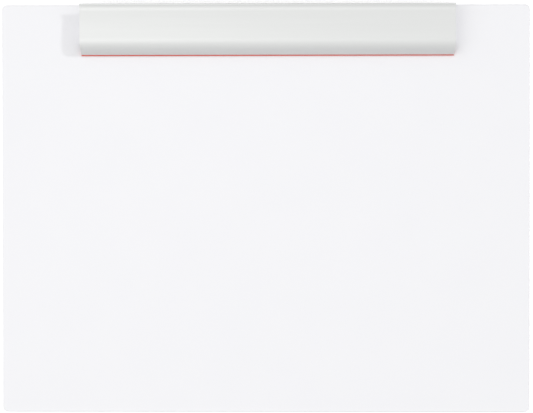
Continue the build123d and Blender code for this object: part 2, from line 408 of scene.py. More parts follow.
# %% Finishes of the small metal parts
METAL = {"Metallic": 1.0}
rod_finish = grained_finish(
    "drawn_stainless_steel", METAL, grain=(30, 0.2, 0.2), roughness=(0.17, 0.27),
    strength=0.2, depth=0.01, colours=("B9BABA", "C6C7C7"),
)
cap_finish = grained_finish(
    "bright_zinc_plate", METAL, grain=(0.5, 0.5, 0.5), roughness=(0.19, 0.29),
    strength=0.15, depth=0.01, colours=("C3C7CB", "D3D6D8"),
)
spring_finish = grained_finish(
    "drawn_spring_wire", METAL, grain=(0.3, 1.5, 1.5), roughness=(0.25, 0.35),
    strength=0.2, depth=0.01, colours=("8E8F91", "A3A4A5"),
)
rivet_finish = grained_finish(
    "pressed_aluminium", METAL, grain=(0.4, 0.4, 0.4), roughness=(0.25, 0.35),
    strength=0.3, depth=0.01, colours=("D2D3D4", "DEDFE0"),
)

# %% [markdown]
# ## Geometry trees and plain meshes
# What repeats or follows a rule is made with Geometry Nodes: a tree with named sizes, set on a
# modifier, run once, and kept as a plain mesh. The modifier then goes, so that the finished
# piece is ordinary geometry at the origin. Edges sharper than 28 degrees stay crisp, and the
# rest shade smooth.


# %% Running a tree
def new_tree(name, inputs):
    """A geometry tree with these named inputs and a finish, and its input node's outputs."""
    tree = bpy.data.node_groups.new(name, "GeometryNodeTree")
    tree.interface.new_socket("Geometry", in_out="INPUT", socket_type="NodeSocketGeometry")
    for label, kind in {**inputs, "Finish": "Material"}.items():
        tree.interface.new_socket(label, in_out="INPUT", socket_type="NodeSocket" + kind)
    tree.interface.new_socket("Geometry", in_out="OUTPUT", socket_type="NodeSocketGeometry")
    return tree, add_node(tree, "NodeGroupInput").outputs


def finish_tree(tree, given, geometry):
    """Ends a tree: every instance made real, in the finish that the tree is given."""
    real = add_node(tree, "GeometryNodeRealizeInstances", {"Geometry": geometry})
    painted = add_node(tree, "GeometryNodeSetMaterial", {
        "Geometry": real, "Material": given["Finish"],
    })
    add_node(tree, "NodeGroupOutput", {"Geometry": painted})


def keep_result(piece):
    """Swaps a piece's mesh for what its modifiers make of it, and drops them."""
    depsgraph = bpy.context.evaluated_depsgraph_get()
    result = bpy.data.meshes.new_from_object(piece.evaluated_get(depsgraph))
    piece.modifiers.clear()
    piece.data = result
    return piece


def run_tree(tree, piece, values):
    """Runs a tree on a piece with these values for its named inputs."""
    modifier = piece.modifiers.new(tree.name, "NODES")
    modifier.node_group = tree
    for item in tree.interface.items_tree:
        if item.in_out == "INPUT" and item.name in values:
            modifier[item.identifier] = values[item.name]
    return keep_result(piece)


def new_piece(name, points, edges=(), faces=()):
    """An object at the origin with this mesh."""
    mesh = bpy.data.meshes.new(name)
    mesh.from_pydata(points, edges, faces)
    piece = bpy.data.objects.new(name, mesh)
    scene.collection.objects.link(piece)
    return piece


CRISP = math.radians(28)


def shade(piece):
    """Smooth shading with crisp edges, and a word on what was made."""
    piece.data.shade_smooth()
    piece.data.set_sharp_from_angle(angle=CRISP)
    piece.data.calc_loop_triangles()
    size = [round(v / MM, 1) for v in piece.dimensions]
    print(piece.name, size, "mm,", len(piece.data.loop_triangles), "triangles")
    return piece


print("crisp edges are over", round(math.degrees(CRISP)), "degrees")

# %% [markdown]
# ## Sections
# An extrusion is its section, pulled along X. Sections are drawn as closed loops of points, with
# every round stretch worked out from its centre, its radius and two bearings. Bearings are
# degrees from straight up, and grow towards the reader.


# %% Drawing round stretches and loops
def round_point(centre, radius, bearing):
    """One place on a round stretch. A negative radius puts it on the far side of its centre."""
    turn = math.radians(bearing)
    return (centre[0] + radius * math.sin(turn), centre[1] + radius * math.cos(turn))


def arc(centre, radius, first, last, steps):
    """The points of a round stretch, from one bearing to another."""
    bearings = [first + (last - first) * i / steps for i in range(steps + 1)]
    return [round_point(centre, radius, bearing) for bearing in bearings]


def loops_piece(name, *loops):
    """A piece of closed loops of edges, drawn on the sections' flat sheet."""
    points, edges = [], []
    for loop in loops:
        first, count = len(points), len(loop)
        points += [section_point(*place) for place in loop]
        edges += [(first + i, first + (i + 1) % count) for i in range(count)]
    return new_piece(name, points, edges)


print("a quarter round has", len(arc((0, 0), 1, 0, 90, 8)), "points")

# %% [markdown]
# ## The extrusion tree
# Fill Curve turns a section's loops into a flat face, holes included, and Extrude Mesh pulls it
# into a bar. That leaves the near end open, so a flipped copy of the flat face closes it, and
# merging by distance welds it on. Sections lie flat at first, and the last step stands them up:
# the sheet's X becomes the board's Y, and the pull runs along X.

# %% Extrusion tree
UPRIGHT = (math.radians(90), 0, math.radians(90))
WELD = 0.001 * MM
extrusion, given = new_tree("extrusion", {"Length": "Float", "Start": "Vector"})
outline = add_node(extrusion, "GeometryNodeMeshToCurve", {"Mesh": given["Geometry"]})
flat = add_node(extrusion, "GeometryNodeFillCurve", {"Curve": outline})
pulled = add_node(extrusion, "GeometryNodeExtrudeMesh", {
    "Mesh": flat, "Offset": (0, 0, 1), "Offset Scale": given["Length"],
    "Individual": False,
})
near_end = add_node(extrusion, "GeometryNodeFlipFaces", {"Mesh": flat})
closed = add_node(extrusion, "GeometryNodeJoinGeometry", {"Geometry": [near_end, pulled]})
welded = add_node(extrusion, "GeometryNodeMergeByDistance", {"Geometry": closed, "Distance": WELD})
stood = add_node(extrusion, "GeometryNodeTransform", {
    "Geometry": welded, "Translation": given["Start"], "Rotation": UPRIGHT,
})
finish_tree(extrusion, given, stood)
print("tree:", extrusion.name, "with", len(extrusion.nodes), "nodes")

# %% [markdown]
# ## The row tree
# Knuckles and holes stand in a row along the clamp, singly or in pairs. A Mesh Line puts down
# the middles, a second one puts each pair about its middle, and a tool is set on every point. A
# Boolean then joins the tools to the piece or takes them away, so that each extrusion stays one
# closed body. Arrays by modifier could do this too, but here the spacing is a named input.


# %% Row trees
def row_tree(name, operation):
    """A tree that adds a row of tools to a piece, or cuts them out of it."""
    tree, given = new_tree(name, {
        "Tool": "Object", "Middle": "Float", "Count": "Int", "Spacing": "Float",
        "Pair Count": "Int", "Pair Spacing": "Float",
    })
    lines = []
    for count, spacing in (("Count", "Spacing"), ("Pair Count", "Pair Spacing")):
        gaps = add_node(tree, "ShaderNodeMath", {0: given[count], 1: 1.0}, operation="SUBTRACT")
        half = add_node(tree, "ShaderNodeMath", {0: gaps, 1: -0.5}, operation="MULTIPLY")
        first = add_node(tree, "ShaderNodeMath", {0: half, 1: given[spacing]}, operation="MULTIPLY")
        start = add_node(tree, "ShaderNodeCombineXYZ", {"X": first})
        step = add_node(tree, "ShaderNodeCombineXYZ", {"X": given[spacing]})
        lines.append(add_node(tree, "GeometryNodeMeshLine", {
            "Count": given[count], "Start Location": start, "Offset": step,
        }))
    pairs = add_node(tree, "GeometryNodeInstanceOnPoints", {
        "Points": lines[0], "Instance": lines[1],
    })
    places = add_node(tree, "GeometryNodeRealizeInstances", {"Geometry": pairs})
    tool = add_node(tree, "GeometryNodeObjectInfo", {"Object": given["Tool"]})
    row = add_node(tree, "GeometryNodeInstanceOnPoints", {
        "Points": places, "Instance": tool.outputs["Geometry"],
    })
    shift = add_node(tree, "ShaderNodeCombineXYZ", {"X": given["Middle"]})
    moved = add_node(tree, "GeometryNodeTransform", {"Geometry": row, "Translation": shift})
    real = add_node(tree, "GeometryNodeRealizeInstances", {"Geometry": moved})
    meshes = {"Mesh 1": given["Geometry"], "Mesh 2": real}
    if operation == "UNION":
        meshes = {"Mesh 2": [given["Geometry"], real]}
    result = add_node(tree, "GeometryNodeMeshBoolean", meshes, operation=operation, solver="EXACT")
    finish_tree(tree, given, result)
    return tree


def use_row(tree, piece, tool, finish, middle=0.0, count=1, spacing=0.0, pair=1, apart=0.0):
    """Joins a row of tools to a piece, or cuts it out, and drops the tool. spacing, between
    groups, and apart, between the tools of one group, are in millimetres."""
    run_tree(tree, piece, {
        "Tool": tool, "Middle": middle, "Count": count, "Spacing": spacing * MM,
        "Pair Count": pair, "Pair Spacing": apart * MM, "Finish": finish,
    })
    bpy.data.objects.remove(tool)
    return piece


add_row = row_tree("row_of_knuckles", "UNION")
cut_row = row_tree("row_of_holes", "DIFFERENCE")
print("trees:", add_row.name, cut_row.name)

# %% [markdown]
# ## Edges
# No real edge is a mathematical line. A cut end is broken with a file or a tumbler, so the bars
# get a small flat chamfer wherever two faces meet at a clear angle. One flat step is enough at
# this size: it catches a thin bright line of light.

# %% Chamfers
CHAMFER = 0.12 * MM
CLEAR_ANGLE = math.radians(35)


def break_edges(piece, width):
    """A small flat chamfer on every clear edge."""
    bevel = piece.modifiers.new("chamfer", "BEVEL")
    bevel.width = width
    bevel.segments = 1
    bevel.limit_method = "ANGLE"
    bevel.angle_limit = CLEAR_ANGLE
    return keep_result(piece)


def extruded(name, finish, low_x, high_x, *loops):
    """An extrusion with broken edges, from its section's loops."""
    piece = run_tree(extrusion, loops_piece(name, *loops), {
        "Length": high_x - low_x, "Start": (low_x, 0, 0), "Finish": finish,
    })
    return break_edges(piece, CHAMFER)


print("chamfers are", CHAMFER / MM, "mm")

# %% [markdown]
# ## The bar's section
# The bar is one plate, 1.5 mm thick, almost flat on top. At the front it bends down through 66
# degrees, and at the back its edge curls up for the fingertips. The curl, the top and the bend
# are three arcs that run into each other, so the whole skin follows from three centres.

# %% Centres of the three arcs
BAR_WALL = 1.5
CROWN_UP = 15.0
TOP_RADIUS = 320.0
BEND_RADIUS = 11.0
BEND_TURN = 66.0
CURL_RADIUS = 6.5
CURL_TURN = 40.0
bar_back, bar_front, foot_up = back_of(bar_high.y), back_of(bar_low.y), up_of(bar_low.z)
lean = math.radians(BEND_TURN)
wall_run = (CROWN_UP - BEND_RADIUS * (1 - math.cos(lean)) - foot_up) / math.tan(lean)
crown_back = bar_front - wall_run - BEND_RADIUS * math.sin(lean)
bend_centre = (crown_back, CROWN_UP - BEND_RADIUS)
top_centre = (crown_back, CROWN_UP - TOP_RADIUS)
middle_radius = CURL_RADIUS + BAR_WALL / 2
curl_back = bar_back + BAR_WALL / 2 + middle_radius * math.sin(math.radians(CURL_TURN))
top_turn = math.degrees(math.asin((curl_back - crown_back) / (TOP_RADIUS + CURL_RADIUS)))
curl_up = top_centre[1] + (TOP_RADIUS + CURL_RADIUS) * math.cos(math.radians(top_turn))
curl_centre = (curl_back, curl_up)
print("the top starts", round(curl_back, 2), "mm back and ends at", round(crown_back, 2))

# %% [markdown]
# The inside of the plate is the same three arcs, a wall's thickness further in. A low rib runs
# along it above the hinge, and the foot thickens into a block with a keyhole groove, which holds
# the lip's bulb.

# %% The bar's outline
RIB_WIDTH = 2.0
RIB_UP = 12.2
BLOCK_BACK, BLOCK_UP = 38.3, 4.9
GROOVE = (39.8, 3.2)
GROOVE_RADIUS = 0.85
GROOVE_STEPS = 18
MOUTH_HALF = 0.55
CURL_STEPS, TOP_STEPS, BEND_STEPS = 10, 16, 26
INNER_STEPS, INNER_BEND_STEPS, AHEAD_OF_RIB_STEPS = 10, 22, 6


def wall_back(inset, up):
    """How far back the leaning front is at a height, for a skin moved in by inset."""
    end_back, end_up = round_point(bend_centre, BEND_RADIUS - inset, BEND_TURN)
    return end_back + (end_up - up) / math.tan(lean)


def bearing_on_top(back, inset):
    """The bearing, on the top's arc, of a place this far back."""
    return math.degrees(math.asin((back - crown_back) / (TOP_RADIUS - inset)))


def keyhole(radius, half_width, mouth_up):
    """A keyhole's outline, from the reader's side of its mouth round to the far side."""
    side = 180 - math.degrees(math.asin(half_width / radius))
    round_part = arc(GROOVE, radius, side, -side, GROOVE_STEPS)
    return [(GROOVE[0] + half_width, mouth_up), *round_part, (GROOVE[0] - half_width, mouth_up)]


def bar_outline():
    """The bar's section: outer skin, foot, groove, inner skin with its rib, and round edge."""
    outer = arc(curl_centre, -CURL_RADIUS, CURL_TURN, top_turn, CURL_STEPS)
    outer += arc(top_centre, TOP_RADIUS, top_turn, 0, TOP_STEPS)[1:]
    outer += arc(bend_centre, BEND_RADIUS, 0, BEND_TURN, BEND_STEPS)[1:]
    foot = [(bar_front, foot_up), *keyhole(GROOVE_RADIUS, MOUTH_HALF, foot_up)]
    foot += [(BLOCK_BACK, foot_up), (BLOCK_BACK, BLOCK_UP)]
    foot.append((wall_back(BAR_WALL, BLOCK_UP), BLOCK_UP))
    rib_front, rib_back = PIVOT_BACK + RIB_WIDTH / 2, PIVOT_BACK - RIB_WIDTH / 2
    front_turn, back_turn = bearing_on_top(rib_front, BAR_WALL), bearing_on_top(rib_back, BAR_WALL)
    inner_top, inner_curl = TOP_RADIUS - BAR_WALL, -CURL_RADIUS - BAR_WALL
    inner = arc(bend_centre, BEND_RADIUS - BAR_WALL, BEND_TURN, 0, INNER_BEND_STEPS)
    inner += arc(top_centre, inner_top, 0, front_turn, AHEAD_OF_RIB_STEPS)[1:]
    inner += [(rib_front, RIB_UP), (rib_back, RIB_UP)]
    inner += arc(top_centre, inner_top, back_turn, top_turn, INNER_STEPS)
    inner += arc(curl_centre, inner_curl, top_turn, CURL_TURN, CURL_STEPS)[1:]
    edge_centre = round_point(curl_centre, -middle_radius, CURL_TURN)
    round_edge = arc(edge_centre, BAR_WALL / 2, CURL_TURN - 180, CURL_TURN, CURL_STEPS)[1:-1]
    return outer + foot + inner + round_edge


print("the bar's section has", len(bar_outline()), "points")

# %% [markdown]
# ## Knuckles
# Ears with a round eye hang from the bar and stand up from the rail, in turn, and the hinge rod
# runs through them all. An ear is an extrusion too: its outline goes round the eye and along the
# rib, and a second loop is its bore.

# %% Knuckle shapes
EYE_RADIUS = 3.5
EYE_STEPS = 40
BORE_SIDES = 24
BAR_BORE_FIT, RAIL_BORE_FIT = 0.06, 0.02
KNUCKLE_LENGTH = 8.0
KNUCKLE_GAP = 0.4
SPRING_POCKET = 9.0
GROUPS = 4
GROUP_SPACING = 80.0
rail_pair = SPRING_POCKET + KNUCKLE_LENGTH
bar_pair = rail_pair + 2 * (KNUCKLE_LENGTH + KNUCKLE_GAP)
rod_radius = (rod_high.z - rod_low.z) / 2 / MM
clamp_middle = (bar_low.x + bar_high.x) / 2


def knuckle(name, root_up, bore_fit, finish):
    """An ear about the hinge, in the middle of the clamp, with its root up or down."""
    side = math.degrees(math.asin(RIB_WIDTH / 2 / EYE_RADIUS))
    start = side if root_up > PIVOT_UP else 180 + side
    hinge = (PIVOT_BACK, PIVOT_UP)
    eye = arc(hinge, EYE_RADIUS, start, start + 360 - 2 * side, EYE_STEPS)
    root = [(eye[-1][0], root_up), (eye[0][0], root_up)]
    bore = arc(hinge, rod_radius + bore_fit, 0, 360, BORE_SIDES)[:-1]
    half = KNUCKLE_LENGTH / 2 * MM
    return run_tree(extrusion, loops_piece(name, eye + root, bore), {
        "Length": 2 * half, "Start": (-half, 0, 0), "Finish": finish,
    })


def add_knuckles(piece, root_up, bore_fit, apart, finish):
    """Joins a pair of knuckles in every group to a piece."""
    ear = knuckle("knuckle", root_up, bore_fit, finish)
    return use_row(
        add_row, piece, ear, finish, middle=clamp_middle, count=GROUPS, spacing=GROUP_SPACING,
        pair=2, apart=apart,
    )


print("knuckle pairs are", rail_pair, "and", bar_pair, "mm apart")

# %% The clamp bar
ceiling_up = CROWN_UP - BAR_WALL / 2
clamp_bar = extruded("anodised_bar", bar_finish, bar_low.x, bar_high.x, bar_outline())
shade(add_knuckles(clamp_bar, ceiling_up, BAR_BORE_FIT, bar_pair, bar_finish))
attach(clamp_bar, "clamp")
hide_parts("clamp_bar")

# %% [markdown]
# ## Lip strip
# The strip is a flat pad with a rounded nose and a bulb on top, which is pushed into the bar's
# groove from one end. Its underside has shallow grooves, so that it grips the sheets and doesn't
# slide on a film of air.

# %% The lip's outline
FIT = 0.05
PAD_NOSE = 0.7
NOSE_STEPS = 6
GRIP_GROOVES = 5
GRIP_PITCH = 0.65
GRIP_DEPTH = 0.13
strip_front, strip_back = back_of(strip_low.y), back_of(strip_high.y)
pad_top, pad_bottom = foot_up - FIT, up_of(strip_low.z)


def strip_outline():
    """The strip's section, from its bulb round the nose and along the grooved underside."""
    bulb = keyhole(GROOVE_RADIUS - FIT, MOUTH_HALF - FIT, pad_top)
    nose_back = strip_front - PAD_NOSE
    nose = arc((nose_back, pad_top - PAD_NOSE), PAD_NOSE, 0, 90, NOSE_STEPS)
    chin = arc((nose_back, pad_bottom + PAD_NOSE), PAD_NOSE, 90, 180, NOSE_STEPS)
    sole = []
    for i in range(GRIP_GROOVES):
        middle = strip_front - 2 * PAD_NOSE - i * GRIP_PITCH
        sole += [(middle + GRIP_DEPTH, pad_bottom), (middle, pad_bottom + GRIP_DEPTH)]
        sole.append((middle - GRIP_DEPTH, pad_bottom))
    return bulb[::-1] + nose + chin + sole + [(strip_back, pad_bottom), (strip_back, pad_top)]


# %% The lip strip
lip = run_tree(extrusion, loops_piece("red_lip", strip_outline()), {
    "Length": strip_high.x - strip_low.x, "Start": (strip_low.x, 0, 0), "Finish": lip_finish,
})
shade(lip)
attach(lip, "clamp")
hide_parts("lip_strip")

# %% [markdown]
# ## Base rail
# The rail is a channel riveted to the board. Its front wall stops the sheets, its back wall
# stops the bar when it is pressed right down, and both have rolled tops, as an extrusion's free
# edges do. The corners inside are filleted, because a die can't cut them square.

# %% The rail's outline
RAIL_FLOOR = 1.5
STOP_UP, STOP_WIDTH = 4.5, 1.4
HEEL_UP, HEEL_WIDTH = 7.1, 1.2
CORNER = 0.4
STUB_UP = 2.2
ROLLED_STEPS, CORNER_ARC_STEPS = 10, 4
rail_front, rail_back = back_of(rail_low.y), back_of(rail_high.y)


def rolled_top(back, width, up):
    """The half round top of a wall of this width, from its back face to its front one."""
    return arc((back + width / 2, up - width / 2), width / 2, -90, 90, ROLLED_STEPS)


def inside_corner(back, first, last):
    """The fillet between the channel's floor and a wall."""
    return arc((back, RAIL_FLOOR + CORNER), CORNER, first, last, CORNER_ARC_STEPS)


def rail_outline():
    """The rail's section: back wall, floor with the knuckles' stub, and paper stop."""
    heel = rolled_top(rail_back, HEEL_WIDTH, HEEL_UP)
    heel += inside_corner(rail_back + HEEL_WIDTH + CORNER, -90, -180)
    stub_back, stub_front = PIVOT_BACK - RIB_WIDTH / 2, PIVOT_BACK + RIB_WIDTH / 2
    stub = [(stub_back, RAIL_FLOOR), (stub_back, STUB_UP)]
    stub += [(stub_front, STUB_UP), (stub_front, RAIL_FLOOR)]
    stop_back = rail_front - STOP_WIDTH
    stop = inside_corner(stop_back - CORNER, 180, 90)
    stop += rolled_top(stop_back, STOP_WIDTH, STOP_UP)
    return [(rail_back, 0), *heel, *stub, *stop, (rail_front, 0)]


print("the rail's section has", len(rail_outline()), "points")

# %% [markdown]
# ## Turned parts
# Rivets, the rod, its caps and the drills for the holes are round. Each is a profile of radius
# and height, spun about an axis: a ring of points for every profile point, and a single point
# where the radius is nought. Blender's Screw modifier would do it, but then the poles need
# welding, and these few lines close them from the start.


# %% Spinning a profile
def turned(name, profile, sides, axis="Z", origin=(0, 0, 0), finish=None):
    """A closed part spun from (radius, height) pairs in millimetres, listed from top to bottom."""
    points, rings = [], []
    for radius, height in profile:
        ring = []
        for i in range(sides if radius > 0 else 1):
            turn = 2 * math.pi * i / sides
            across, beside = radius * math.cos(turn), radius * math.sin(turn)
            place = (across, beside, height) if axis == "Z" else (height, across, beside)
            ring.append(len(points))
            points.append([origin[k] + place[k] * MM for k in range(3)])
        rings.append(ring)
    faces = []
    for upper, lower in zip(rings, rings[1:]):
        for i in range(sides):
            j = (i + 1) % sides
            corners = [upper[i % len(upper)], lower[i % len(lower)]]
            corners += [lower[j % len(lower)], upper[j % len(upper)]]
            faces.append(tuple(dict.fromkeys(corners)))
    piece = new_piece(name, points, faces=faces)
    if finish:
        piece.data.materials.append(finish)
    return piece


RIVETS = 5
RIVET_SPACING = 70.0
rivet_low, rivet_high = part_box("rivet_1")
rivet_y = (rivet_low.y + rivet_high.y) / 2
HEAD_RADIUS = (rivet_high.x - rivet_low.x) / 2 / MM
HEAD_DEPTH = 1.3
SHANK_RADIUS = 1.95
RECESS = rivet_low.z / MM
board_thickness = board_high.z / MM
print("rivet heads are", round(2 * HEAD_RADIUS, 1), "mm across")


# %% Cutting the rivet holes
def cut_holes(piece, drill, finish):
    """Cuts the row of rivet holes into a piece."""
    return use_row(
        cut_row, piece, drill, finish, middle=clamp_middle, count=RIVETS, spacing=RIVET_SPACING,
    )


DRILL_SIDES = 32
OVERCUT = 3.0
hole_radius = SHANK_RADIUS + FIT
drill_top = board_thickness + RAIL_FLOOR + OVERCUT
drill_tip = board_thickness - OVERCUT
rail_drill = turned("rail_drill", [
    (0, drill_top), (hole_radius, drill_top), (hole_radius, drill_tip), (0, drill_tip),
], DRILL_SIDES, origin=(0, rivet_y, 0))
print("rivet holes are", 2 * hole_radius, "mm across")

# %% The base rail
rail = extruded("channel_rail", rail_finish, rail_low.x, rail_high.x, rail_outline())
add_knuckles(rail, RAIL_FLOOR / 2, RAIL_BORE_FIT, rail_pair, rail_finish)
shade(cut_holes(rail, rail_drill, rail_finish))
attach(rail, "base")
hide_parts("base_rail")

# %% [markdown]
# ## End plugs
# A moulded plug closes each end of the rail: a plate outside, which fills the bar's hollow in
# front of the hinge and slopes down behind it, and two legs pushed into the channel, one on each
# side of the stub. Its corners are rounded, so a small function rounds an outline's corners.


# %% Rounded outlines
ROUND_STEPS = 6


def rounded(*corners):
    """An outline of corners, each given as back, up and the radius that it is rounded to."""
    points = []
    for i, (back, up, radius) in enumerate(corners):
        corner = Vector((back, up))
        before = (Vector(corners[i - 1][:2]) - corner).normalized()
        after = (Vector(corners[(i + 1) % len(corners)][:2]) - corner).normalized()
        half = before.angle(after) / 2
        centre = corner + (before + after).normalized() * radius / math.sin(half)
        start = corner + before * radius / math.tan(half) - centre
        side = 1 if before.cross(after) < 0 else -1
        for k in range(ROUND_STEPS + 1 if radius else 1):
            turn = side * (math.pi - 2 * half) * k / ROUND_STEPS
            across = start.x * math.cos(turn) - start.y * math.sin(turn)
            rise = start.x * math.sin(turn) + start.y * math.cos(turn)
            points.append((centre.x + across, centre.y + rise))
    return points


print("a rounded corner has", ROUND_STEPS + 1, "points")

# %% The end plugs
PLATE = 1.6
PLUG_LIFT = 0.1
PLUG_HEEL_UP, PLUG_HEEL_ROUND = 7.0, 1.0
CREST_BACK, CREST_FRONT, CREST_UP, CREST_ROUND = 24.5, 29.0, 12.8, 4.0
SHOULDER_UP, SHOULDER_ROUND = 11.3, 2.0
LEG_LENGTH = 4.5
LEG_UP, LEG_ROUND = 4.2, 0.6
LEG_ROOM = 0.3
plate_outline = rounded(
    (rail_back, PLUG_LIFT, 0), (rail_back, PLUG_HEEL_UP, PLUG_HEEL_ROUND),
    (CREST_BACK, CREST_UP, CREST_ROUND), (CREST_FRONT, CREST_UP, CREST_ROUND),
    (rail_front, SHOULDER_UP, SHOULDER_ROUND), (rail_front, PLUG_LIFT, 0),
)
leg_spans = [
    (rail_back + HEEL_WIDTH + FIT, PIVOT_BACK - RIB_WIDTH / 2 - LEG_ROOM),
    (PIVOT_BACK + RIB_WIDTH / 2 + LEG_ROOM, rail_front - STOP_WIDTH - FIT),
]
leg_outlines = [rounded(
    (back, RAIL_FLOOR + FIT, 0), (back, LEG_UP, LEG_ROUND),
    (front, LEG_UP, LEG_ROUND), (front, RAIL_FLOOR + FIT, 0),
) for back, front in leg_spans]
for side, node, end in ((-1, "end_plug_left", rail_low.x), (1, "end_plug_right", rail_high.x)):
    plate_x = sorted((end, end + side * PLATE * MM))
    legs_x = sorted((end - side * LEG_LENGTH * MM, end + side * PLATE / 2 * MM))
    plug = extruded(node.replace("end", "moulded"), plug_finish, *plate_x, plate_outline)
    legs = extruded("plug_legs", plug_finish, *legs_x, *leg_outlines)
    shade(use_row(add_row, plug, legs, plug_finish))
    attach(plug, "base")
    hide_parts(node)

# %% [markdown]
# ## The board tree
# The board's shape follows one rule: a rounded rectangle with one rim profile swept round it. So
# its tree takes the rim as drawn, sweeps it along a filleted rectangle, and closes the top and
# the bottom with two filled faces.

# %% Board tree
EDGE_RADIUS = 1.2
CORNER_RADIUS = 4.0
CORNER_STEPS = 8
board_tree, given = new_tree("moulded_board", {
    "Length": "Float", "Depth": "Float", "Thickness": "Float", "Corner Radius": "Float",
})
rectangle = add_node(board_tree, "GeometryNodeCurvePrimitiveQuadrilateral", {
    "Width": given["Length"], "Height": given["Depth"],
})
filleted = add_node(board_tree, "GeometryNodeFilletCurve", {
    "Curve": rectangle, "Count": CORNER_STEPS, "Radius": given["Corner Radius"],
}, mode="POLY")
steady = add_node(board_tree, "GeometryNodeSetCurveNormal", {"Curve": filleted}, mode="Z_UP")
rim = add_node(board_tree, "GeometryNodeMeshToCurve", {"Mesh": given["Geometry"]})
rim_wall = add_node(board_tree, "GeometryNodeCurveToMesh", {"Curve": steady, "Profile Curve": rim})
bottom = add_node(board_tree, "GeometryNodeFillCurve", {"Curve": filleted}, mode="NGONS")
lift = add_node(board_tree, "ShaderNodeCombineXYZ", {"Z": given["Thickness"]})
top = add_node(board_tree, "GeometryNodeTransform", {"Geometry": bottom, "Translation": lift})
underside = add_node(board_tree, "GeometryNodeFlipFaces", {"Mesh": bottom})
shell = add_node(board_tree, "GeometryNodeJoinGeometry", {"Geometry": [rim_wall, top, underside]})
welded = add_node(board_tree, "GeometryNodeMergeByDistance", {"Geometry": shell, "Distance": WELD})
finish_tree(board_tree, given, welded)
print("tree:", board_tree.name, "with", len(board_tree.nodes), "nodes")

# %% [markdown]
# ## Board
# The rim is two quarter rounds with a short flat between them. Along a level curve whose normals
# point up, a profile's Y runs downwards, so the rim is drawn upside down. Under the board, each
# rivet hole is countersunk, so that the heads don't scratch the table.

# %% The board
EDGE_STEPS = 8
rim_points = arc((0, board_thickness - EDGE_RADIUS), EDGE_RADIUS, 0, 90, EDGE_STEPS)
rim_points += arc((0, EDGE_RADIUS), EDGE_RADIUS, 90, 180, EDGE_STEPS)
rim_piece = new_piece(
    "moulded_panel", [(out * MM, -up * MM, 0) for out, up in rim_points],
    [(i, i + 1) for i in range(len(rim_points) - 1)],
)
board_size = board_high - board_low
board = run_tree(board_tree, rim_piece, {
    "Length": board_size.x - 2 * EDGE_RADIUS * MM, "Depth": board_size.y - 2 * EDGE_RADIUS * MM,
    "Thickness": board_size.z, "Corner Radius": (CORNER_RADIUS - EDGE_RADIUS) * MM,
    "Finish": board_finish,
})
slope = (HEAD_RADIUS - SHANK_RADIUS) / HEAD_DEPTH
mouth_radius = HEAD_RADIUS + FIT + RECESS * slope
countersink = turned("countersink", [
    (0, board_thickness + OVERCUT), (hole_radius, board_thickness + OVERCUT),
    (hole_radius, RECESS + HEAD_DEPTH), (mouth_radius, 0),
    (mouth_radius, -OVERCUT), (0, -OVERCUT),
], DRILL_SIDES, origin=(0, rivet_y, 0))
shade(cut_holes(board, countersink, board_finish))
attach(board, "base")
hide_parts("board")

# %% [markdown]
# ## Rivets
# A tubular rivet has a countersunk head, and its hollow end is rolled over the rail into a round
# collar. One is turned, and a small tree sets it on a row of points, all five as one piece.

# %% Rivet row tree
rivet_row, given = new_tree("rivet_row", {
    "Count": "Int", "Spacing": "Float", "Start": "Vector",
})
step = add_node(rivet_row, "ShaderNodeCombineXYZ", {"X": given["Spacing"]})
places = add_node(rivet_row, "GeometryNodeMeshLine", {
    "Count": given["Count"], "Start Location": given["Start"], "Offset": step,
})
row = add_node(rivet_row, "GeometryNodeInstanceOnPoints", {
    "Points": places, "Instance": given["Geometry"],
})
finish_tree(rivet_row, given, row)
print("tree:", rivet_row.name, "with", len(rivet_row.nodes), "nodes")

# %% The rivets
TUBE_RADIUS, TUBE_BOTTOM = 1.2, 2.0
COLLAR_HEIGHT = 0.9
COLLAR_RADIUS = 3.0
HEAD_EDGE = 0.15
COLLAR_BEARINGS = range(-75, 91, 15)
RIVET_SIDES = 32
rolled_on = board_thickness + RAIL_FLOOR
collar_middle = (TUBE_RADIUS + COLLAR_RADIUS) / 2
collar_half = (COLLAR_RADIUS - TUBE_RADIUS) / 2
collar = [
    (collar_middle + collar_half * math.sin(t), rolled_on + COLLAR_HEIGHT * math.cos(t))
    for t in map(math.radians, COLLAR_BEARINGS)
]
rivet_profile = [(0, TUBE_BOTTOM), (TUBE_RADIUS - HEAD_EDGE, TUBE_BOTTOM)]
rivet_profile += [(TUBE_RADIUS, TUBE_BOTTOM + HEAD_EDGE), (TUBE_RADIUS, rolled_on), *collar]
rivet_profile += [(SHANK_RADIUS, rolled_on), (SHANK_RADIUS, RECESS + HEAD_DEPTH)]
rivet_profile += [(HEAD_RADIUS, RECESS + HEAD_EDGE), (HEAD_RADIUS - HEAD_EDGE, RECESS)]
rivet_profile.append((0, RECESS))
first_rivet_x = clamp_middle - (RIVETS - 1) / 2 * RIVET_SPACING * MM
rivets = run_tree(rivet_row, turned("rivets", rivet_profile, RIVET_SIDES), {
    "Count": RIVETS, "Spacing": RIVET_SPACING * MM, "Start": (first_rivet_x, rivet_y, 0),
    "Finish": rivet_finish,
})
shade(rivets)
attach(rivets, "base")
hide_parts(*[f"rivet_{i + 1}" for i in range(RIVETS)])

# %% [markdown]
# ## Hinge rod and caps
# The rod is drawn stainless, cut to length with chamfered ends. A push-on cap with a domed end
# grips each end and keeps the rod from walking out. Its mouth is rolled outwards a little, so
# that it starts easily over the rod. The left cap is the same profile mirrored. Mirroring turns
# faces inside out, so there the profile is listed backwards, which turns them out again.

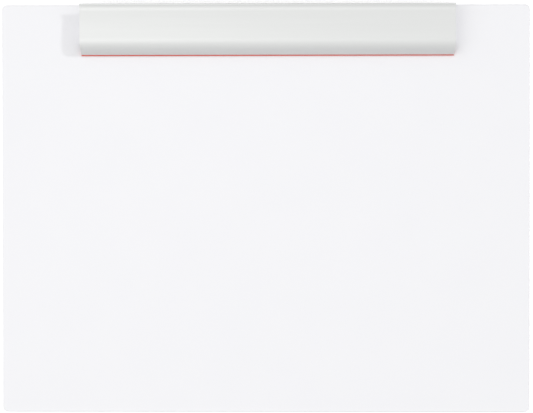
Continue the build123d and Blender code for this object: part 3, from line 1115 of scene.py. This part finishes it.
# %% The hinge rod
ROD_CHAMFER = 0.4
ROD_SIDES = 40
rod_half = (rod_high.x - rod_low.x) / 2 / MM
rod = turned("drawn_rod", [
    (0, rod_half), (rod_radius - ROD_CHAMFER, rod_half), (rod_radius, rod_half - ROD_CHAMFER),
    (rod_radius, ROD_CHAMFER - rod_half), (rod_radius - ROD_CHAMFER, -rod_half), (0, -rod_half),
], ROD_SIDES, axis="X", origin=pivot, finish=rod_finish)
shade(rod)
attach(rod, "base")
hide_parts("hinge_rod")

# %% The caps
CAP_DEPTH = 3.8
CAP_WALL = 0.5
CAP_EDGE = 0.9
MOUTH_UP = 1.2
DOME_STEPS, ROLL_STEPS = 6, 4
cap_low, cap_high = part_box("rod_cap_right")
cap_length = (cap_high.x - cap_low.x) / MM
cap_radius = (cap_high.z - cap_low.z) / 2 / MM
body_radius = cap_radius - CAP_WALL
bore_radius = rod_radius + FIT
mouth_out = cap_low.x - pivot.x
domed = arc((body_radius - CAP_EDGE, cap_length - CAP_EDGE), CAP_EDGE, 0, 90, DOME_STEPS)
mouth_roll = arc((cap_radius - CAP_WALL / 2, CAP_WALL), CAP_WALL / 2, 0, 180, ROLL_STEPS)
cap_profile = [(0, cap_length), *domed, (body_radius, MOUTH_UP), *mouth_roll]
cap_profile += [(bore_radius, CAP_WALL / 2), (bore_radius, CAP_DEPTH), (0, CAP_DEPTH)]
for side, node in ((-1, "rod_cap_left"), (1, "rod_cap_right")):
    facing_out = [(radius, side * height) for radius, height in cap_profile][::side]
    cap = turned(
        node.replace("rod", "push"), facing_out, ROD_SIDES, axis="X",
        origin=(pivot.x + side * mouth_out, pivot.y, pivot.z), finish=cap_finish,
    )
    shade(cap)
    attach(cap, "base")
    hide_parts(node)

# %% [markdown]
# ## The spring tree
# A torsion spring is one wire: a straight leg, a coil about the rod, and a second straight leg.
# Its tree puts a string of points on that line by their distance along the wire. Between the
# ends of the coil a point follows the helix, and past an end it runs on straight, along the
# helix's direction there. A circle swept along the string is the wire. The sums are a table of
# steps, each with its name, its operation and what it works on.

# %% Spring tree
WIRE_STEPS = 190
WIRE_SIDES = 12
SPRING_SIZES = (
    "Coil Radius", "Wire Radius", "Pitch", "First Bearing", "Turn", "First Leg", "Last Leg",
)
spring_tree, given = new_tree("torsion_spring", {
    **dict.fromkeys(SPRING_SIZES, "Float"), "Centre": "Vector",
})
WIRE_SUMS = [
    ("rise", "DIVIDE", "Pitch", 2 * math.pi),
    ("rise squared", "MULTIPLY", "rise", "rise"),
    ("radius squared", "MULTIPLY", "Coil Radius", "Coil Radius"),
    ("reach squared", "ADD", "radius squared", "rise squared"),
    ("reach", "SQRT", "reach squared"),
    ("coil length", "MULTIPLY", "Turn", "reach"),
    ("both legs", "ADD", "First Leg", "Last Leg"),
    ("whole length", "ADD", "coil length", "both legs"),
    ("share", "DIVIDE", "Index", float(WIRE_STEPS)),
    ("from start", "MULTIPLY", "share", "whole length"),
    ("distance", "SUBTRACT", "from start", "First Leg"),
    ("past start", "MAXIMUM", "distance", 0.0),
    ("on coil", "MINIMUM", "past start", "coil length"),
    ("overrun", "SUBTRACT", "distance", "on coil"),
    ("past end", "DIVIDE", "overrun", "reach"),
    ("turned by", "DIVIDE", "on coil", "reach"),
    ("bearing", "ADD", "turned by", "First Bearing"),
    ("sine", "SINE", "bearing"),
    ("cosine", "COSINE", "bearing"),
    ("half turn", "MULTIPLY", "Turn", 0.5),
    ("turns left", "SUBTRACT", "half turn", "turned by"),
    ("run along", "SUBTRACT", "turns left", "past end"),
    ("wire x", "MULTIPLY", "run along", "rise"),
    ("sine past end", "MULTIPLY", "sine", "past end"),
    ("lean y", "SUBTRACT", "sine past end", "cosine"),
    ("wire y", "MULTIPLY", "lean y", "Coil Radius"),
    ("cosine past end", "MULTIPLY", "cosine", "past end"),
    ("lean z", "ADD", "cosine past end", "sine"),
    ("wire z", "MULTIPLY", "lean z", "Coil Radius"),
]
known = {name: given[name] for name in SPRING_SIZES}
known["Index"] = add_node(spring_tree, "GeometryNodeInputIndex")
for label, operation, *operands in WIRE_SUMS:
    known[label] = add_node(spring_tree, "ShaderNodeMath", {
        i: known.get(operand, operand) for i, operand in enumerate(operands)
    }, operation=operation, label=label)
line = add_node(spring_tree, "ShaderNodeCombineXYZ", {
    "X": known["wire x"], "Y": known["wire y"], "Z": known["wire z"],
})
string = add_node(spring_tree, "GeometryNodeMeshLine", {"Count": WIRE_STEPS + 1})
bent = add_node(spring_tree, "GeometryNodeSetPosition", {"Geometry": string, "Position": line})
wire_line = add_node(spring_tree, "GeometryNodeMeshToCurve", {"Mesh": bent})
circle = add_node(spring_tree, "GeometryNodeCurvePrimitiveCircle", {
    "Resolution": WIRE_SIDES, "Radius": given["Wire Radius"],
})
wire = add_node(spring_tree, "GeometryNodeCurveToMesh", {
    "Curve": wire_line, "Profile Curve": circle, "Fill Caps": True,
})
hung = add_node(spring_tree, "GeometryNodeTransform", {
    "Geometry": wire, "Translation": given["Centre"],
})
finish_tree(spring_tree, given, hung)
print("tree:", spring_tree.name, "with", len(spring_tree.nodes), "nodes")

# %% [markdown]
# ## Springs
# Each spring sits in the pocket of a knuckle group. One leg lies on the rail's floor, and the
# other bears up on the underside of the bar, where the finger presses. When the bar turns, the
# upper leg goes with it and the coil winds up.

# %% Where the legs touch the coil
WIRE = 1.2
COIL_RADIUS = 3.6
PITCH = 1.35
COIL_TURNS = 4
LEG_GAP = 0.05
LOWER_LEG_BACK, UPPER_LEG_BACK = 9.0, 9.5


def leg_to(back, up, side):
    """The bearing where a leg from a place touches the coil, and the leg's length."""
    run_back, run_up = back - PIVOT_BACK, up - PIVOT_UP
    reach = math.hypot(run_back, run_up)
    touch = math.atan2(run_up, run_back) + side * math.acos(COIL_RADIUS / reach)
    return touch, math.sqrt(reach**2 - COIL_RADIUS**2)


lower_up = RAIL_FLOOR + WIRE / 2 + LEG_GAP
leg_bearing = bearing_on_top(UPPER_LEG_BACK, BAR_WALL)
under_bar = round_point(top_centre, TOP_RADIUS - BAR_WALL, leg_bearing)
upper_up = under_bar[1] - WIRE / 2 - 2 * LEG_GAP
first_bearing, first_leg = leg_to(LOWER_LEG_BACK, lower_up, 1)
last_bearing, last_leg = leg_to(UPPER_LEG_BACK, upper_up, -1)
spring_turn = (last_bearing - first_bearing) % (2 * math.pi) + COIL_TURNS * 2 * math.pi
print("the wire turns", round(math.degrees(spring_turn)), "degrees round the rod")

# %% The springs
for i in range(GROUPS):
    middle = clamp_middle + (i - (GROUPS - 1) / 2) * GROUP_SPACING * MM
    spring = run_tree(spring_tree, new_piece(f"wire_spring_{i + 1}", [(0, 0, 0)]), {
        "Coil Radius": COIL_RADIUS * MM, "Wire Radius": WIRE / 2 * MM, "Pitch": PITCH * MM,
        "First Bearing": first_bearing, "Turn": spring_turn, "First Leg": first_leg * MM,
        "Last Leg": last_leg * MM, "Centre": (middle, pivot.y, pivot.z), "Finish": spring_finish,
    })
    shade(spring)
    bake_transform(spring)
    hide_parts(f"spring_{i + 1}")
